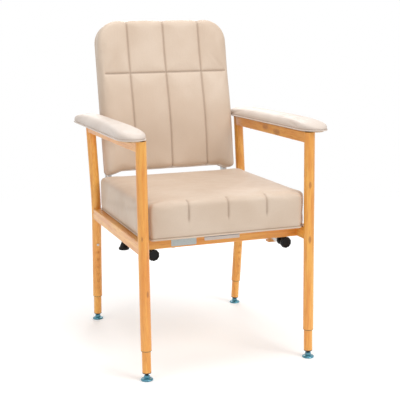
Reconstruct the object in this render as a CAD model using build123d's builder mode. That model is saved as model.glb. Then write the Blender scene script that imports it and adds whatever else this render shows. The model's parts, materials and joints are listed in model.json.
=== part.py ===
"""Height-adjustable padded day chair: a timber-look steel tube frame on four telescoping legs,
an upholstered seat, two padded arms, and a padded back on an L-shaped frame that slides fore and aft.

Millimetres. +Z is up, -Y is the front, +X is the right as seen from the front. The origin is
on the floor, at the centre of the chair's bounding box.
"""

import os
from math import cos, radians, sin, tan

from build123d import *

os.makedirs("parts", exist_ok=True)

SIDES = {"left": -1, "right": 1}
ENDS = ("front", "rear")

# ---- driving dimensions: places along Y are measured from the front legs' centre line ----
FRONT_Y = -309.1  # the front legs' centre line in the chair's own frame
LEG_X = 245.0  # half the distance between the front legs' centre lines
LEG_TOP_Z = 660.0  # where the arm boards rest on the legs and arm rails

# rear legs: splayed backwards below the seat, leaning back above it, flaring slightly outwards
REAR_FOOT_X = 246.0
REAR_FOOT_Y = 589.0
REAR_SPLAY = 8.5
REAR_LEAN = 7.2
REAR_FLARE = 0.0117
REAR_BEND_Z = 405.0
REAR_BEND_RADIUS = 400.0

# telescoping legs
OUTER_R = 15.0
OUTER_BORE_R = 13.5
OUTER_START = 86.0  # along the leg's axis from the floor
INNER_R = 12.5
INNER_BORE_R = 11.0
INNER_START = 23.0
INNER_END = 296.0
BUSH_LENGTH = 24.0
BUSH_LIP = 1.2
RUNNING_GAP = 0.06

# height adjustment: a row of holes, and a sprung button in the highest of them
HOLE_R = 4.2
HOLE_START = 118.0
HOLE_PITCH = 25.4
HOLE_COUNT = 7
BUTTON_R = 3.9
BUTTON_REACH = 18.4
BUTTON_FLANGE_R = 6.0
BUTTON_FLANGE_OUT = 8.9
BUTTON_FLANGE_THICK = 1.5
BUTTON_TIP_ROUND = 2.2
SPRING_STRIP = 0.8
SPRING_WIDTH = 6.0
SPRING_ABOVE = 5.0  # how far its arms reach above the button's axis
SPRING_BELOW = 30.0
BUTTON_Z = HOLE_START + (HOLE_COUNT - 1) * HOLE_PITCH

# feet: a disc that tilts on the ball of the leg plug's stem
BALL_R = 6.0
BALL_ALONG = 13.0
DISC_R = 17.5
DISC_THICK = 6.5
CUP_R = 9.0
CUP_TOP = 15.0
CUP_DRAFT = 0.6
DISC_SHOULDER_R = 12.0
DISC_EDGE = 3.0
DISC_ROUND = 1.6
STEM_R = 3.2
PLUG_FLANGE = 2.4
PLUG_LENGTH = 22.0
PLUG_LEAD_IN = 1.0

# rails
RAIL_WIDTH = 25.0
SEAT_RAIL_TALL = 35.0
SEAT_RAIL_TOP_Z = 387.0
ARM_RAIL_TALL = 30.0
RAIL_WALL = 1.5
RAIL_CORNER = 3.0
FRONT_RAIL_Y = 67.5
REAR_RAIL_Y = 478.0
TOUCH = 0.02  # so that coped ends meet the tubes without sharing volume

# seat
SEAT_FRONT_Y = -4.0
SEAT_REAR_Y = 513.0
SEAT_NECK_HALF_WIDTH = 226.0  # between the front legs
SEAT_HALF_WIDTH = 238.0  # behind them, over the side rails
SEAT_NECK_Y = 17.0
SEAT_WIDE_Y = 27.0
SEAT_TOP_Z = 492.0
SEAT_BOARD_THICK = 12.0
SEAT_BOARD_INSET = 9.0
SEAT_BOARD_CORNER_R = 12.0
SEAT_CORNER_R = 9.0
SEAT_TOP_ROUND = 8.0
SEAT_BOTTOM_ROUND = 4.0
POCKET_GAP = 0.2

# arm pads, set outwards of the legs
PAD_X = 265.0
PAD_HALF_WIDTH = 41.0
PAD_FRONT_Y = -27.0
PAD_REAR_Y = 613.0
PAD_END = 62.0  # length of each rounded end
PAD_TOP_Z = 688.0
PAD_BOARD_THICK = 8.0
PAD_BOARD_INSET = 9.0
PAD_TOP_ROUND = 13.0
PAD_BOTTOM_ROUND = 6.0

# back: a raked plane at the rear of the cushion and board
BACK_RAKE = 10.0
BACK_Y = 562.0
BACK_Z = 538.0
BACK_HALF_WIDTH = 220.0
BACK_TOP = 433.0
BACK_ARCH = -35.0
BACK_LOBE = -51.0
BACK_LOBE_WIDTH = 26.0
BACK_LOBE_R = 15.0
BACK_LOBE_SLOPE = 40.0  # how far the arch takes to come down to a lobe
BACK_CORNER_R = 70.0
BACK_THICK = 70.0
BACK_FRONT_ROUND = 6.0
BACK_REAR_ROUND = 4.0
BACK_BOARD_THICK = 12.0
BACK_BOARD_INSET = 14.0

# back frame: two L-shaped tubes that slide in guides under the seat
RUNNER_X = 200.0
RUNNER_Z = 335.0
RUNNER_R = 11.0
RUNNER_BORE_R = 9.5
RUNNER_FRONT_Y = 95.0
RUNNER_REAR_Y = 468.0
POST_BEND_RADIUS = 60.0
POST_TOP = 352.0
BRACE_Z = 430.0
BRACE_R = 8.0
BRACE_WALL = 1.5
CAP_DEPTH = 14.0
CAP_HEAD = 3.0

# guides and knobs
SLIDE_TRAVEL = 50.0
GUIDE_LENGTH = 22.0
GUIDE_HALF_HEIGHT = 14.0
GUIDE_BOTTOM_Z = 318.0
GUIDE_INNER = 16.0  # from the runner's centre line to the guide's inner side
GUIDE_FLANGE = 6.0
GUIDE_FOOT = 9.0  # from the runner's centre line to where the sloping outer side starts
GUIDE_FLANGE_TOP_Z = 382.0
GUIDE_AIR = 0.15  # between a guide's flange and its rail
REAR_GUIDE_Y = 388.0
SLIDE_SPARE = 0.5
FRONT_GUIDE_Y = RUNNER_FRONT_Y + SLIDE_TRAVEL + SLIDE_SPARE + GUIDE_LENGTH / 2
KNOB_R = 16.5
KNOB_RIM = 6.5
KNOB_CONE_TOP = 24.0
KNOB_LENGTH = 36.0
KNOB_HUB_R = 7.0
KNOB_FLUTES = 10
KNOB_FLUTE_R = 2.6
KNOB_DISH = 1.5
KNOB_DISH_R = 10.5
KNOB_STAND_OFF = 4.0
END_STUD_REACH = 22.0
CLAMP_STUD_AIR = 0.3
STUD_R = 4.0
STOP_FLANGE_R = 13.0
STOP_FLANGE = 2.0
RUNNER_PLUG_LENGTH = 26.0

SCREW_R = 2.5
SCREW_HEAD_R = 5.0
SCREW_HEAD = 2.6
CLEARANCE = 0.1
SCREW_HOLE_R = SCREW_R + CLEARANCE
SCREW_TIP_COVER = 2.0  # thickness left above a screw's hole in a board
SEAT_SCREW_XS = (-140.0, 140.0)
ARM_SCREW_YS = (110.0, 440.0)
BACK_SCREW_HEIGHTS = (60.0, 290.0)

# blank plates on the front rail
LABEL_THICK = 0.6
LABELS = ((-113.0, -1.0, 74.0, 24.0), (1.0, 3.5, 106.0, 18.0))  # middle across and up, length, height


def save(piece, name):
    """Label one finished piece and write it as its own STEP file."""
    piece.part.label = name
    export_step(piece.part, f"parts/{name}.step")


# ---- legs ----
def leg_up(end, side):
    """Unit vector up the lower part of a leg."""
    if end == "front":
        return Vector(0, 0, 1)
    return Vector(side * REAR_FLARE, -tan(radians(REAR_SPLAY)), 1).normalized()


def leg_point(end, side, along):
    """Point on the lower part of a leg's axis, at a distance along it from the floor."""
    foot = Vector(side * LEG_X, FRONT_Y, 0)
    if end == "rear":
        foot = Vector(side * REAR_FOOT_X, FRONT_Y + REAR_FOOT_Y, 0)
    return foot + leg_up(end, side) * along


def leg_axis_at(end, side, z):
    """Point on a whole leg's axis at a height, below or above the rear legs' bend."""
    if end == "front":
        return Vector(side * LEG_X, FRONT_Y, z)
    below = min(z, REAR_BEND_Z)
    above = max(z - REAR_BEND_Z, 0)
    y = REAR_FOOT_Y - below * tan(radians(REAR_SPLAY)) + above * tan(radians(REAR_LEAN))
    return Vector(side * (REAR_FOOT_X + REAR_FLARE * z), FRONT_Y + y, z)


def leg_plane(end, side, along):
    """Plane square to a leg's lower axis."""
    return Plane(origin=leg_point(end, side, along), x_dir=(1, 0, 0), z_dir=leg_up(end, side))


def hole_plane(end, side, along):
    """Plane through a leg's axis that faces the way its adjustment holes face: inwards."""
    facing = Vector(0, 1 if end == "front" else -1, 0)
    up = leg_up(end, side)
    outwards = (facing - up * facing.dot(up)).normalized()
    return Plane(origin=leg_point(end, side, along), x_dir=up, z_dir=outwards)


def tube_section(plane, radius, bore):
    """Ring-shaped sketch, or a disc where the bore is 0."""
    with BuildSketch(plane) as section:
        Circle(radius)
        if bore:
            Circle(bore, mode=Mode.SUBTRACT)
    return section


def leg_tube(end, side, radius, bore):
    """Outer leg tube from its lower end up to the arm board, cut level at the top."""
    with BuildPart() as tube:
        if end == "front":
            start = leg_plane(end, side, OUTER_START)
            extrude(tube_section(start, radius, bore).sketch, amount=LEG_TOP_Z - OUTER_START)
        else:
            over = leg_axis_at(end, side, LEG_TOP_Z + OUTER_R)
            bend = leg_axis_at(end, side, REAR_BEND_Z)
            with BuildLine() as path:
                FilletPolyline(leg_point(end, side, OUTER_START), bend, over, radius=REAR_BEND_RADIUS)
            start = leg_plane(end, side, OUTER_START)
            sweep(tube_section(start, radius, bore).sketch, path=path.line)
            split(bisect_by=Plane.XY.offset(LEG_TOP_Z), keep=Keep.BOTTOM)
    return tube


def outer_leg(end, side):
    """Leg tube with its row of adjustment holes."""
    with BuildPart() as leg:
        add(leg_tube(end, side, OUTER_R, OUTER_BORE_R).part)
        for step in range(HOLE_COUNT):
            with BuildSketch(hole_plane(end, side, HOLE_START + step * HOLE_PITCH)):
                Circle(HOLE_R)
            extrude(amount=OUTER_R + 1, mode=Mode.SUBTRACT)
    return leg


def inner_leg(end, side):
    """Sliding leg tube with the hole that its button stands in."""
    with BuildPart() as leg:
        start = leg_plane(end, side, INNER_START)
        extrude(tube_section(start, INNER_R, INNER_BORE_R).sketch, amount=INNER_END - INNER_START)
        with BuildSketch(hole_plane(end, side, BUTTON_Z)):
            Circle(HOLE_R)
        extrude(amount=INNER_R + 1, mode=Mode.SUBTRACT)
    return leg


def snap_button(end, side):
    """Domed button with a flange that stays inside the sliding leg."""
    plane = hole_plane(end, side, BUTTON_Z)
    with BuildPart() as button:
        with BuildSketch(plane.offset(BUTTON_FLANGE_OUT - BUTTON_FLANGE_THICK)):
            Circle(BUTTON_FLANGE_R)
        extrude(amount=BUTTON_FLANGE_THICK)
        with BuildSketch(plane.offset(BUTTON_FLANGE_OUT - BUTTON_FLANGE_THICK)):
            Circle(BUTTON_R)
        extrude(amount=BUTTON_REACH - BUTTON_FLANGE_OUT + BUTTON_FLANGE_THICK)
        tip = button.edges().filter_by(GeomType.CIRCLE).sort_by(Axis(plane.origin, plane.z_dir))[-1]
        fillet(tip, radius=BUTTON_TIP_ROUND)
    return button


def button_spring(end, side):
    """U-shaped leaf spring that presses the button outwards from the far wall of the tube."""
    plane = hole_plane(end, side, BUTTON_Z)
    near = BUTTON_FLANGE_OUT - BUTTON_FLANGE_THICK - CLEARANCE
    far = -(INNER_BORE_R - 2 * SPRING_STRIP)
    middle = (near + far) / 2
    lowest = -SPRING_BELOW - (near - far) / 2
    inner_near = near - SPRING_STRIP
    inner_far = far + SPRING_STRIP
    upright = Plane(origin=plane.origin, x_dir=plane.z_dir, z_dir=plane.y_dir)
    with BuildPart() as spring:
        with BuildSketch(upright):
            with BuildLine():
                Line((near, SPRING_ABOVE), (near, -SPRING_BELOW))
                ThreePointArc((near, -SPRING_BELOW), (middle, lowest), (far, -SPRING_BELOW))
                Line((far, -SPRING_BELOW), (far, SPRING_ABOVE))
                Line((far, SPRING_ABOVE), (inner_far, SPRING_ABOVE))
                Line((inner_far, SPRING_ABOVE), (inner_far, -SPRING_BELOW))
                ThreePointArc(
                    (inner_far, -SPRING_BELOW), (middle, lowest + SPRING_STRIP), (inner_near, -SPRING_BELOW)
                )
                Line((inner_near, -SPRING_BELOW), (inner_near, SPRING_ABOVE))
                Line((inner_near, SPRING_ABOVE), (near, SPRING_ABOVE))
            make_face()
        extrude(amount=SPRING_WIDTH / 2, both=True)
    return spring


def leg_plug(end, side):
    """Plastic plug in the sliding leg's lower end, with the stem and ball that the foot tilts on."""
    plane = leg_plane(end, side, BALL_ALONG)
    tube_end = INNER_START - BALL_ALONG
    flange = tube_end - PLUG_FLANGE
    top = tube_end + PLUG_LENGTH
    snug = INNER_BORE_R - TOUCH
    neck = (BALL_R**2 - STEM_R**2) ** 0.5
    with BuildPart() as plug:
        with BuildSketch(Plane(origin=plane.origin, x_dir=plane.x_dir, z_dir=-plane.y_dir)):
            with BuildLine():
                Line((0, -BALL_R), (0, top))
                Line((0, top), (snug - PLUG_LEAD_IN, top))
                Line((snug - PLUG_LEAD_IN, top), (snug, top - 2 * PLUG_LEAD_IN))
                Line((snug, top - 2 * PLUG_LEAD_IN), (snug, tube_end))
                Line((snug, tube_end), (INNER_R, tube_end))
                Line((INNER_R, tube_end), (INNER_R, flange))
                Line((INNER_R, flange), (STEM_R, flange))
                Line((STEM_R, flange), (STEM_R, neck))
                ThreePointArc((STEM_R, neck), (BALL_R, 0), (0, -BALL_R))
            make_face()
        revolve(axis=Axis(plane.origin, plane.z_dir))
    return plug


def foot(end, side):
    """Level glide disc with a cup that holds the ball."""
    ball = leg_point(end, side, BALL_ALONG)
    upright = Plane(origin=(ball.X, ball.Y, 0), x_dir=(1, 0, 0), z_dir=(0, -1, 0))
    with BuildPart() as disc:
        with BuildSketch(upright):
            with BuildLine():
                Line((0, 0), (DISC_R - 1, 0))
                Line((DISC_R - 1, 0), (DISC_R, 1))
                Line((DISC_R, 1), (DISC_R, DISC_EDGE))
                ThreePointArc(
                    (DISC_R, DISC_EDGE),
                    (DISC_R - DISC_ROUND, DISC_THICK - DISC_ROUND),
                    (DISC_SHOULDER_R, DISC_THICK),
                )
                Line((DISC_SHOULDER_R, DISC_THICK), (CUP_R, DISC_THICK + 2))
                Line((CUP_R, DISC_THICK + 2), (CUP_R - CUP_DRAFT, CUP_TOP))
                Line((CUP_R - CUP_DRAFT, CUP_TOP), (0, CUP_TOP))
                Line((0, CUP_TOP), (0, 0))
            make_face()
        revolve(axis=Axis((ball.X, ball.Y, 0), (0, 0, 1)))
        with Locations(ball):
            Sphere(BALL_R + RUNNING_GAP, mode=Mode.SUBTRACT)
    return disc


for end in ENDS:
    for name, side in SIDES.items():
        save(outer_leg(end, side), f"{end}_leg_{name}")
        save(inner_leg(end, side), f"sliding_leg_{end}_{name}")
        save(snap_button(end, side), f"snap_button_{end}_{name}")
        save(button_spring(end, side), f"button_spring_{end}_{name}")
        save(leg_plug(end, side), f"leg_plug_{end}_{name}")
        save(foot(end, side), f"foot_{end}_{name}")

with BuildPart() as leg_bushes:
    for end in ENDS:
        for side in SIDES.values():
            bottom = leg_plane(end, side, OUTER_START - BUSH_LIP)
            bore = INNER_R + RUNNING_GAP
            extrude(tube_section(bottom, OUTER_BORE_R - TOUCH, bore).sketch, amount=BUSH_LENGTH)
            extrude(tube_section(bottom, OUTER_R, bore).sketch, amount=BUSH_LIP)
save(leg_bushes, "leg_bushes")


# ---- rails ----
def side_bar(side, top, tall, corner, wall):
    """Rectangular tube from the front leg's axis to the rear leg's, or a solid bar with no wall."""
    middle = top - tall / 2
    start = leg_axis_at("front", side, middle)
    finish = leg_axis_at("rear", side, middle)
    along = (finish - start).normalized()
    with BuildPart() as bar:
        with BuildSketch(Plane(origin=start, x_dir=(along.Y, -along.X, 0), z_dir=along)):
            RectangleRounded(RAIL_WIDTH, tall, corner)
            if wall:
                RectangleRounded(RAIL_WIDTH - 2 * wall, tall - 2 * wall, corner - wall, mode=Mode.SUBTRACT)
        extrude(amount=(finish - start).length)
    return bar


def side_rail(side, top, tall):
    """Rail between the legs of one side, its ends coped to the round tubes."""
    with BuildPart() as rail:
        add(side_bar(side, top, tall, RAIL_CORNER, RAIL_WALL).part)
        for end in ENDS:
            add(leg_tube(end, side, OUTER_R + TOUCH, 0).part, mode=Mode.SUBTRACT)
    return rail


def cross_rail(y, screw_xs):
    """Rail between the two side rails, drilled upwards for the seat screws."""
    middle = SEAT_RAIL_TOP_Z - SEAT_RAIL_TALL / 2
    with BuildPart() as rail:
        with BuildSketch(Plane(origin=(-LEG_X, FRONT_Y + y, middle), x_dir=(0, 1, 0), z_dir=(1, 0, 0))):
            RectangleRounded(RAIL_WIDTH, SEAT_RAIL_TALL, RAIL_CORNER)
            RectangleRounded(
                RAIL_WIDTH - 2 * RAIL_WALL,
                SEAT_RAIL_TALL - 2 * RAIL_WALL,
                RAIL_CORNER - RAIL_WALL,
                mode=Mode.SUBTRACT,
            )
        extrude(amount=2 * LEG_X)
        for side in SIDES.values():
            bar = side_bar(side, SEAT_RAIL_TOP_Z, SEAT_RAIL_TALL, RAIL_CORNER, 0)
            beyond = Plane(origin=(side * (LEG_X + RAIL_WIDTH), FRONT_Y + y, middle), z_dir=(side, 0, 0))
            add(bar.part, mode=Mode.SUBTRACT)
            with BuildSketch(beyond.offset(-RAIL_WIDTH)):
                Rectangle(3 * RAIL_WIDTH, 3 * RAIL_WIDTH)
            extrude(amount=2 * RAIL_WIDTH, mode=Mode.SUBTRACT)
        with BuildSketch(Plane.XY.offset(SEAT_RAIL_TOP_Z - SEAT_RAIL_TALL - 1)):
            with Locations([(x, FRONT_Y + y) for x in screw_xs]):
                Circle(SCREW_HOLE_R)
        extrude(amount=SEAT_RAIL_TALL + 2, mode=Mode.SUBTRACT)
    return rail


def arm_screw_point(side, y):
    """Where a screw comes up through an arm rail: on the rail's centre line."""
    front = leg_axis_at("front", side, LEG_TOP_Z)
    rear = leg_axis_at("rear", side, LEG_TOP_Z)
    share = y / (rear.Y - front.Y)
    return front + (rear - front) * share


for name, side in SIDES.items():
    save(side_rail(side, SEAT_RAIL_TOP_Z, SEAT_RAIL_TALL), f"side_rail_{name}")
    with BuildPart() as arm_rail:
        add(side_rail(side, LEG_TOP_Z, ARM_RAIL_TALL).part)
        for y in ARM_SCREW_YS:
            at = arm_screw_point(side, y)
            with BuildSketch(Plane(origin=(at.X, at.Y, LEG_TOP_Z - ARM_RAIL_TALL - 1), z_dir=(0, 0, 1))):
                Circle(SCREW_HOLE_R)
            extrude(amount=ARM_RAIL_TALL + 2, mode=Mode.SUBTRACT)
    save(arm_rail, f"arm_rail_{name}")
save(cross_rail(FRONT_RAIL_Y, SEAT_SCREW_XS), "front_rail")
save(cross_rail(REAR_RAIL_Y, SEAT_SCREW_XS), "rear_rail")


# ---- seat ----
SEAT_DEPTH = SEAT_REAR_Y - SEAT_FRONT_Y
SEAT_MIDDLE_Y = FRONT_Y + (SEAT_FRONT_Y + SEAT_REAR_Y) / 2


def seat_board_sketch(grow):
    """Outline of the seat board, or of its pocket in the cushion when grown."""
    with BuildSketch(Plane.XY.offset(SEAT_RAIL_TOP_Z)) as outline:
        with Locations((0, SEAT_MIDDLE_Y)):
            RectangleRounded(
                2 * (SEAT_NECK_HALF_WIDTH - SEAT_BOARD_INSET + grow),
                SEAT_DEPTH - 2 * SEAT_BOARD_INSET + 2 * grow,
                SEAT_BOARD_CORNER_R,
            )
    return outline


with BuildPart() as seat_board:
    extrude(seat_board_sketch(0).sketch, amount=SEAT_BOARD_THICK)
    for y in (FRONT_RAIL_Y, REAR_RAIL_Y):
        with BuildSketch(Plane.XY.offset(SEAT_RAIL_TOP_Z)):
            with Locations([(x, FRONT_Y + y) for x in SEAT_SCREW_XS]):
                Circle(SCREW_HOLE_R)
        extrude(amount=SEAT_BOARD_THICK - SCREW_TIP_COVER, mode=Mode.SUBTRACT)
save(seat_board, "seat_board")

with BuildPart() as seat_cushion:
    with BuildSketch(Plane(origin=(0, FRONT_Y, SEAT_RAIL_TOP_Z), z_dir=(0, 0, 1))) as seat_outline:
        right_side = [
            (SEAT_NECK_HALF_WIDTH, SEAT_FRONT_Y),
            (SEAT_NECK_HALF_WIDTH, SEAT_NECK_Y),
            (SEAT_HALF_WIDTH, SEAT_WIDE_Y),
            (SEAT_HALF_WIDTH, SEAT_REAR_Y),
        ]
        with BuildLine():
            Polyline(*right_side, *[(-x, y) for x, y in reversed(right_side)], close=True)
        make_face()
        fillet(seat_outline.vertices(), radius=SEAT_CORNER_R)
    extrude(amount=SEAT_TOP_Z - SEAT_RAIL_TOP_Z)
    fillet(seat_cushion.faces().sort_by(Axis.Z)[-1].edges(), radius=SEAT_TOP_ROUND)
    fillet(seat_cushion.faces().sort_by(Axis.Z)[0].edges(), radius=SEAT_BOTTOM_ROUND)
    extrude(seat_board_sketch(POCKET_GAP).sketch, amount=SEAT_BOARD_THICK + POCKET_GAP, mode=Mode.SUBTRACT)
save(seat_cushion, "seat_cushion")

with BuildPart() as seat_screws:
    for y in (FRONT_RAIL_Y, REAR_RAIL_Y):
        for x in SEAT_SCREW_XS:
            under = Plane(origin=(x, FRONT_Y + y, SEAT_RAIL_TOP_Z - SEAT_RAIL_TALL), z_dir=(0, 0, 1))
            with BuildSketch(under.offset(-SCREW_HEAD)):
                Circle(SCREW_HEAD_R)
            extrude(amount=SCREW_HEAD)
            with BuildSketch(under):
                Circle(SCREW_R)
            extrude(amount=SEAT_RAIL_TALL + SEAT_BOARD_THICK - SCREW_TIP_COVER - 1)
save(seat_screws, "seat_screws")


# ---- arms ----
PAD_LENGTH = PAD_REAR_Y - PAD_FRONT_Y
PAD_MIDDLE_Y = FRONT_Y + (PAD_FRONT_Y + PAD_REAR_Y) / 2


def pad_outline(side, z, inset):
    """Long outline with half-elliptical ends, for an arm pad, its board or the board's pocket."""
    half_width = PAD_HALF_WIDTH - inset
    half_length = PAD_LENGTH / 2 - inset
    end = PAD_END - inset
    straight = half_length - end
    with BuildSketch(Plane(origin=(side * PAD_X, PAD_MIDDLE_Y, z), z_dir=(0, 0, 1))) as outline:
        with BuildLine():
            Line((half_width, -straight), (half_width, straight))
            EllipticalCenterArc((0, straight), half_width, end, start_angle=0, arc_size=180)
            Line((-half_width, straight), (-half_width, -straight))
            EllipticalCenterArc((0, -straight), half_width, end, start_angle=180, arc_size=180)
        make_face()
    return outline


for name, side in SIDES.items():
    with BuildPart() as arm_board:
        extrude(pad_outline(side, LEG_TOP_Z, PAD_BOARD_INSET).sketch, amount=PAD_BOARD_THICK)
        for y in ARM_SCREW_YS:
            at = arm_screw_point(side, y)
            with BuildSketch(Plane(origin=(at.X, at.Y, LEG_TOP_Z), z_dir=(0, 0, 1))):
                Circle(SCREW_HOLE_R)
            extrude(amount=PAD_BOARD_THICK - SCREW_TIP_COVER, mode=Mode.SUBTRACT)
    save(arm_board, f"arm_board_{name}")

    with BuildPart() as arm_pad:
        extrude(pad_outline(side, LEG_TOP_Z, 0).sketch, amount=PAD_TOP_Z - LEG_TOP_Z)
        fillet(arm_pad.faces().sort_by(Axis.Z)[-1].edges(), radius=PAD_TOP_ROUND)
        fillet(arm_pad.faces().sort_by(Axis.Z)[0].edges(), radius=PAD_BOTTOM_ROUND)
        pocket = pad_outline(side, LEG_TOP_Z, PAD_BOARD_INSET - POCKET_GAP)
        extrude(pocket.sketch, amount=PAD_BOARD_THICK + POCKET_GAP, mode=Mode.SUBTRACT)
    save(arm_pad, f"arm_pad_{name}")

with BuildPart() as arm_screws:
    for side in SIDES.values():
        for y in ARM_SCREW_YS:
            at = arm_screw_point(side, y)
            under = Plane(origin=(at.X, at.Y, LEG_TOP_Z - ARM_RAIL_TALL), z_dir=(0, 0, 1))
            with BuildSketch(under.offset(-SCREW_HEAD)):
                Circle(SCREW_HEAD_R)
            extrude(amount=SCREW_HEAD)
            with BuildSketch(under):
                Circle(SCREW_R)
            extrude(amount=ARM_RAIL_TALL + PAD_BOARD_THICK - SCREW_TIP_COVER - 1)
save(arm_screws, "arm_screws")


# ---- back ----
RAKE = radians(BACK_RAKE)
back_plane = Plane(origin=(0, FRONT_Y + BACK_Y, BACK_Z), x_dir=(1, 0, 0), z_dir=(0, -cos(RAKE), sin(RAKE)))
POST_BEHIND = RUNNER_R + 0.2  # from the board's rear face to the posts' centre lines


def back_board_sketch(grow):
    """Outline of the back board, or of its pocket in the cushion when grown."""
    bottom = BACK_ARCH + BACK_BOARD_INSET
    top = BACK_TOP - BACK_BOARD_INSET
    with BuildSketch(back_plane) as outline:
        with Locations((0, (bottom + top) / 2)):
            RectangleRounded(
                2 * (BACK_HALF_WIDTH - BACK_BOARD_INSET + grow),
                top - bottom + 2 * grow,
                BACK_CORNER_R - BACK_BOARD_INSET,
            )
    return outline


with BuildPart() as back_board:
    extrude(back_board_sketch(0).sketch, amount=BACK_BOARD_THICK)
    with BuildSketch(back_plane):
        with Locations([(side * RUNNER_X, v) for side in SIDES.values() for v in BACK_SCREW_HEIGHTS]):
            Circle(SCREW_HOLE_R)
    extrude(amount=BACK_BOARD_THICK - SCREW_TIP_COVER, mode=Mode.SUBTRACT)
save(back_board, "back_board")

with BuildPart() as back_cushion:
    with BuildSketch(back_plane):
        with BuildLine():
            lobe_x = BACK_HALF_WIDTH - BACK_LOBE_WIDTH
            arch_x = lobe_x - BACK_LOBE_SLOPE
            side_v = BACK_LOBE + BACK_LOBE_R
            Line((0, BACK_ARCH), (arch_x, BACK_ARCH))
            Line((arch_x, BACK_ARCH), (lobe_x, BACK_LOBE))
            Line((lobe_x, BACK_LOBE), (BACK_HALF_WIDTH - BACK_LOBE_R, BACK_LOBE))
            TangentArc(
                (BACK_HALF_WIDTH - BACK_LOBE_R, BACK_LOBE),
                (BACK_HALF_WIDTH, side_v),
                tangent=(1, 0),
            )
            Line((BACK_HALF_WIDTH, side_v), (BACK_HALF_WIDTH, BACK_TOP - BACK_CORNER_R))
            TangentArc(
                (BACK_HALF_WIDTH, BACK_TOP - BACK_CORNER_R),
                (BACK_HALF_WIDTH - BACK_CORNER_R, BACK_TOP),
                tangent=(0, 1),
            )
            Line((BACK_HALF_WIDTH - BACK_CORNER_R, BACK_TOP), (0, BACK_TOP))
            mirror(about=Plane.YZ)
        make_face()
    extrude(amount=BACK_THICK)
    out_of_back = Axis(back_plane.origin, back_plane.z_dir)
    fillet(back_cushion.faces().sort_by(out_of_back)[-1].edges(), radius=BACK_FRONT_ROUND)
    fillet(back_cushion.faces().sort_by(out_of_back)[0].edges(), radius=BACK_REAR_ROUND)
    extrude(back_board_sketch(POCKET_GAP).sketch, amount=BACK_BOARD_THICK + POCKET_GAP, mode=Mode.SUBTRACT)
save(back_cushion, "back_cushion")


def post_point(side, along):
    """Point on a post's centre line, at a height along the back's plane."""
    at = back_plane.from_local_coords(Vector(side * RUNNER_X, along, -POST_BEHIND))
    return Vector(at.X, at.Y, at.Z)


def post_corner(side):
    """Where a post's centre line would meet its runner's."""
    low = post_point(side, 0)
    fall = low.Z - RUNNER_Z
    return Vector(side * RUNNER_X, low.Y - fall * tan(RAKE), RUNNER_Z)


def back_post_tube(side, radius, bore):
    """Upright of the L-shaped frame with the bend at its foot."""
    start = Vector(side * RUNNER_X, FRONT_Y + RUNNER_REAR_Y, RUNNER_Z)
    with BuildPart() as post:
        with BuildLine() as path:
            FilletPolyline(start, post_corner(side), post_point(side, POST_TOP), radius=POST_BEND_RADIUS)
        sweep(tube_section(Plane(origin=start, z_dir=(0, 1, 0)), radius, bore).sketch, path=path.line)
    return post


def back_screw_plane(side, along):
    """Plane at the rear of a post, facing forwards, where a screw goes through into the board."""
    return Plane(
        origin=back_plane.from_local_coords(Vector(side * RUNNER_X, along, -POST_BEHIND - RUNNER_R)),
        z_dir=back_plane.z_dir,
    )


for name, side in SIDES.items():
    with BuildPart() as runner:
        start = Plane(origin=(side * RUNNER_X, FRONT_Y + RUNNER_FRONT_Y, RUNNER_Z), z_dir=(0, 1, 0))
        extrude(tube_section(start, RUNNER_R, RUNNER_BORE_R).sketch, amount=RUNNER_REAR_Y - RUNNER_FRONT_Y)
    save(runner, f"runner_{name}")

    with BuildPart() as back_post:
        add(back_post_tube(side, RUNNER_R, RUNNER_BORE_R).part)
        for along in BACK_SCREW_HEIGHTS:
            with BuildSketch(back_screw_plane(side, along).offset(-1)):
                Circle(SCREW_HOLE_R)
            extrude(amount=2 * RUNNER_R + 2, mode=Mode.SUBTRACT)
    save(back_post, f"back_post_{name}")

with BuildPart() as post_caps:
    for side in SIDES.values():
        top = Plane(
            origin=post_point(side, POST_TOP), x_dir=(1, 0, 0), z_dir=(0, sin(RAKE), cos(RAKE))
        )
        with BuildSketch(top.offset(-CAP_DEPTH)):
            Circle(RUNNER_BORE_R - TOUCH)
        extrude(amount=CAP_DEPTH)
        with BuildSketch(top):
            Circle(RUNNER_R)
        extrude(amount=CAP_HEAD)
    fillet(post_caps.edges().filter_by(GeomType.CIRCLE).group_by(Axis.Z)[-1], radius=CAP_HEAD - 1)
save(post_caps, "post_caps")

brace_y = post_point(1, 0).Y - (post_point(1, 0).Z - BRACE_Z) * tan(RAKE)
with BuildPart() as back_brace:
    start = Plane(origin=(-RUNNER_X, brace_y, BRACE_Z), z_dir=(1, 0, 0))
    extrude(tube_section(start, BRACE_R, BRACE_R - BRACE_WALL).sketch, amount=2 * RUNNER_X)
    for side in SIDES.values():
        add(back_post_tube(side, RUNNER_R + TOUCH, 0).part, mode=Mode.SUBTRACT)
save(back_brace, "back_brace")

with BuildPart() as back_screws:
    for side in SIDES.values():
        for along in BACK_SCREW_HEIGHTS:
            plane = back_screw_plane(side, along)
            with BuildSketch(plane.offset(-SCREW_HEAD)):
                Circle(SCREW_HEAD_R)
            extrude(amount=SCREW_HEAD)
            with BuildSketch(plane):
                Circle(SCREW_R)
            extrude(amount=2 * RUNNER_R + BACK_BOARD_THICK - SCREW_TIP_COVER - 1)
save(back_screws, "back_screws")


# ---- guides under the seat ----
def rail_face_x(side, y):
    """Inner face of a side rail at a distance behind the front legs."""
    middle = SEAT_RAIL_TOP_Z - SEAT_RAIL_TALL / 2
    front = leg_axis_at("front", side, middle)
    rear = leg_axis_at("rear", side, middle)
    x = front.X + (rear.X - front.X) * y / (rear.Y - front.Y)
    return x - side * (RAIL_WIDTH / 2 + GUIDE_AIR)


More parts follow.
